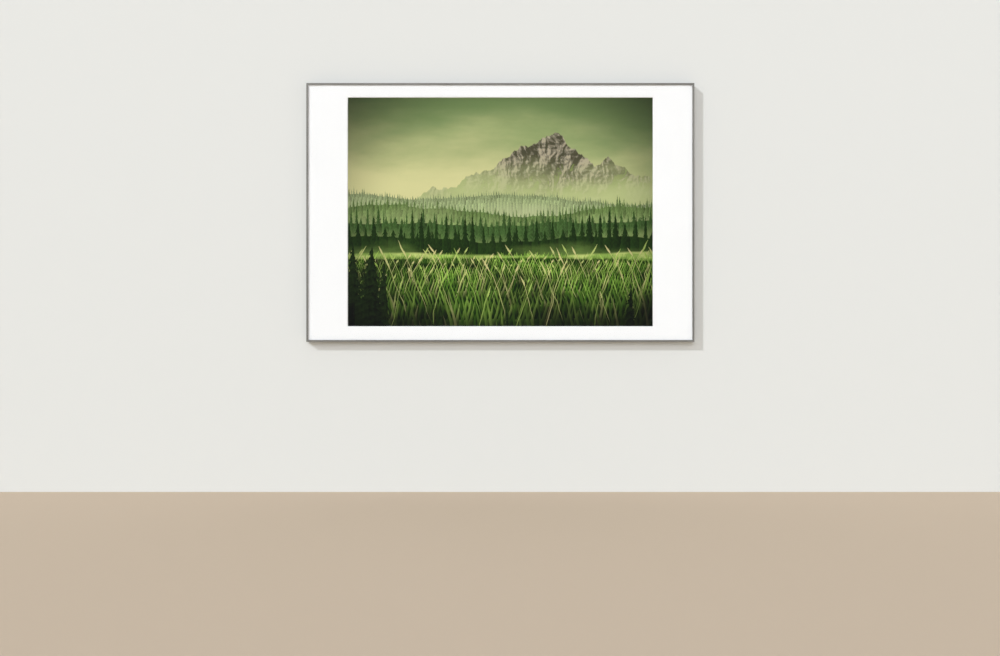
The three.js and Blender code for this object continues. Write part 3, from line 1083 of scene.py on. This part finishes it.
class FRAMED_PRINT_OT_hangers(bpy.types.Operator):
    """Adds the two keyhole plates and their screws, and finishes the nut bars"""

    bl_idname = "framed_print.hangers"
    bl_label = "Keyhole Hangers"

    def execute(self, context):
        zinc = plated_steel("zinc_plated_hanger_steel", colours().zinc, 0.32, 6)
        refinish("hanger_nut_bar_", zinc)
        plates = [
            (f"keyhole_{name}", 0, (middle(name).x, 0, 0), name) for name in nodes_named("hanger_plate_")
        ]
        set_out(keyhole_plate(), zinc, "zinc_steel", plates)
        set_out(pan_head_screw(), zinc, "zinc_steel", places_of("hanger_screw_", "pan", 8, 90))
        return {"FINISHED"}


class FRAMED_PRINT_OT_bumpers(bpy.types.Operator):
    """Adds the four rubber bumpers"""

    bl_idname = "framed_print.bumpers"
    bl_label = "Bumpers"

    def execute(self, context):
        set_out(rubber_bumper(), moulded_rubber(), "rubber", places_of("bumper_", "rubber"))
        return {"FINISHED"}


# Stage.

CAMERA_PLACE = (-0.001, FRONT - 4.323, -0.3598)  # the photo's horizon lies below the frame's centre
FLOOR = -0.874
WALL_PLACE = 0.3 * MM  # just behind the bumpers
WALL_SIZE, FLOOR_SIZE = (14, 6), (60, 60)
SKY_LOW, SKY_HIGH, SKY_BEHIND = 0.29, 0.345, 0.6  # strengths, the last one added behind the wall
SKY_SHOWN = 0.8  # the pale backdrop that is seen past the wall
DAYLIGHT = (0.957, 1.0, 1.06)  # a little cool, which the warm light from the floor evens out

# Far lights in front: aim, strength and width in degrees. The key's aim shifts a crisp shadow to the
# right and down, and the broad fill keeps it pale.
FRONT_LIGHTS = {
    "key_light": ((0.955, 1, -0.794), 1.35, 3),
    "fill_light": ((0, 1, -0.22), 1.36, 38),
}

# Lamps that light the frame's back and outer sides: place, size and watts.
FRAME_LAMPS = {
    "rear_left": ((-1.6, 2.6, 1.2), (1.6, 1.2), 75),
    "rear_right": ((1.8, 2.4, 0.6), (1.4, 1.4), 45),
    "beside_left": ((-2.6, 0.5, 0.3), (1.5, 1.2), 32),
    "beside_right": ((2.6, 0.5, 0.3), (1.5, 1.2), 36),
    "overhead": ((0, 0.5, 2.6), (1.5, 1.5), 30),
}


def wall_paint():
    """Matte wall paint, rolled on in soft clouds, that doesn't hide the frame from behind the wall."""
    place = new_material("rolled_wall_paint", colours().wall)
    tint = lighten(colours().wall, uneven(place, 1250, 0.992, 1.0, 2))
    paint = node("BsdfDiffuse", {"Color": tint})
    behind = node("NewGeometry", out="Backfacing")
    return finished(node("MixShader", [behind, paint, node("BsdfTransparent")]))


def floor_finish():
    """A plain pale floor."""
    new_material("plain_floor_paint", colours().floor)
    return finished(node("BsdfDiffuse", {"Color": colours().floor}))


def plane(name, place, turn, size, finish):
    """A flat part of the stage."""
    deselect()
    bpy.ops.mesh.primitive_plane_add(size=1, location=place, rotation=turn)
    piece = bpy.context.object
    piece.name = name
    piece.scale = (*size, 1)
    piece.data.materials.append(finish)
    return piece


def light(name, kind, place, aim, power):
    """A light of a kind at a place, aimed along a direction."""
    deselect()
    turn = Vector(aim).to_track_quat("-Z", "Y").to_euler()
    bpy.ops.object.light_add(type=kind, location=place, rotation=turn)
    made = bpy.context.object
    made.name = name
    made.data.energy = power
    return made


class FRAMED_PRINT_OT_stage(bpy.types.Operator):
    """Adds the wall, the floor, the lights and the camera"""

    bl_idname = "framed_print.stage"
    bl_label = "Stage"

    def execute(self, context):
        framed = [piece for piece in bpy.data.objects if piece.type == "MESH"]
        centre = (0, WALL_PLACE, FLOOR + WALL_SIZE[1] / 2)
        wall = plane("stage_wall", centre, (math.pi / 2, 0, 0), WALL_SIZE, wall_paint())
        wall.visible_shadow = False
        plane("stage_floor", (0, 0, FLOOR), (0, 0, 0), FLOOR_SIZE, floor_finish())
        self.front_lights()
        self.frame_lamps(framed)
        self.world(context.scene)
        self.camera(context.scene)
        return {"FINISHED"}

    def front_lights(self):
        for name, (aim, strength, width) in FRONT_LIGHTS.items():
            sun = light(name, "SUN", (0, 0, 0), aim, strength)
            sun.data.angle = math.radians(width)
            sun.data.color = DAYLIGHT

    def frame_lamps(self, framed):
        """Soft lamps behind the wall's plane, unseen by the camera, that light the framed pieces alone."""
        lit = bpy.data.collections.new("lamp_lit_pieces")
        for piece in framed:
            lit.objects.link(piece)
        for name, (place, size, watts) in FRAME_LAMPS.items():
            lamp = light(name, "AREA", place, -Vector(place), watts)
            lamp.data.shape = "RECTANGLE"
            lamp.data.size, lamp.data.size_y = size
            lamp.visible_camera = False
            lamp.light_linking.receiver_collection = lit

    def world(self, scene):
        """A soft light from all round, brighter behind the wall, shown without a film look."""
        scene.world = bpy.data.worlds.new("pale_studio")
        take_up(scene.world)
        way = node("SeparateXYZ", [node("TexCoord", out="Generated")]).node.outputs
        above = node("MapRange", [way["Z"], -0.2, 0.9, SKY_LOW, SKY_HIGH], **EASED)
        behind = node("MapRange", [way["Y"], -0.1, 0.5, 0.0, SKY_BEHIND], **EASED)
        shown = node("LightPath", out="Is Camera Ray")
        level = node("Mix", {0: shown, 2: sums(above, behind), 3: SKY_SHOWN})
        glow = node("Background", {"Color": (1, 1, 1), "Strength": level})
        node("OutputWorld", {"Surface": glow})
        scene.view_settings.view_transform = "Standard"

    def camera(self, scene):
        """The photo's framing: a level camera that looks straight at the wall."""
        deselect()
        bpy.ops.object.camera_add(location=CAMERA_PLACE, rotation=(math.pi / 2, 0, 0))
        camera = bpy.context.object
        camera.data.lens = 50
        camera.data.clip_end = 200
        scene.camera = camera


class FRAMED_PRINT_PT_panel(bpy.types.Panel):
    """Lists the steps that build the framed print, and its sizes and colours"""

    bl_label = "Framed Print"
    bl_space_type = "VIEW_3D"
    bl_region_type = "UI"
    bl_category = "Framed Print"

    def draw(self, context):
        for step in STEPS:
            self.layout.operator(step.bl_idname)
        for group in (sizes(), colours()):
            box = self.layout.box()
            for name in group.__annotations__:
                box.prop(group, name)


STEPS = (
    FRAMED_PRINT_OT_rails,
    FRAMED_PRINT_OT_glazing,
    FRAMED_PRINT_OT_window_mat,
    FRAMED_PRINT_OT_printed_sheet,
    FRAMED_PRINT_OT_backing,
    FRAMED_PRINT_OT_springs,
    FRAMED_PRINT_OT_corner_fittings,
    FRAMED_PRINT_OT_hangers,
    FRAMED_PRINT_OT_bumpers,
    FRAMED_PRINT_OT_stage,
)
CLASSES = (FramedPrintSizes, FramedPrintColours, *STEPS, FRAMED_PRINT_PT_panel)


def register():
    for cls in CLASSES:
        bpy.utils.register_class(cls)
    bpy.types.Scene.framed_print_sizes = bpy.props.PointerProperty(type=FramedPrintSizes)
    bpy.types.Scene.framed_print_colours = bpy.props.PointerProperty(type=FramedPrintColours)


def unregister():
    del bpy.types.Scene.framed_print_colours
    del bpy.types.Scene.framed_print_sizes
    for cls in reversed(CLASSES):
        bpy.utils.unregister_class(cls)


def main():
    register()
    for step in STEPS:
        getattr(bpy.ops.framed_print, step.bl_idname.split(".")[1])()


if __name__ == "__main__":
    main()
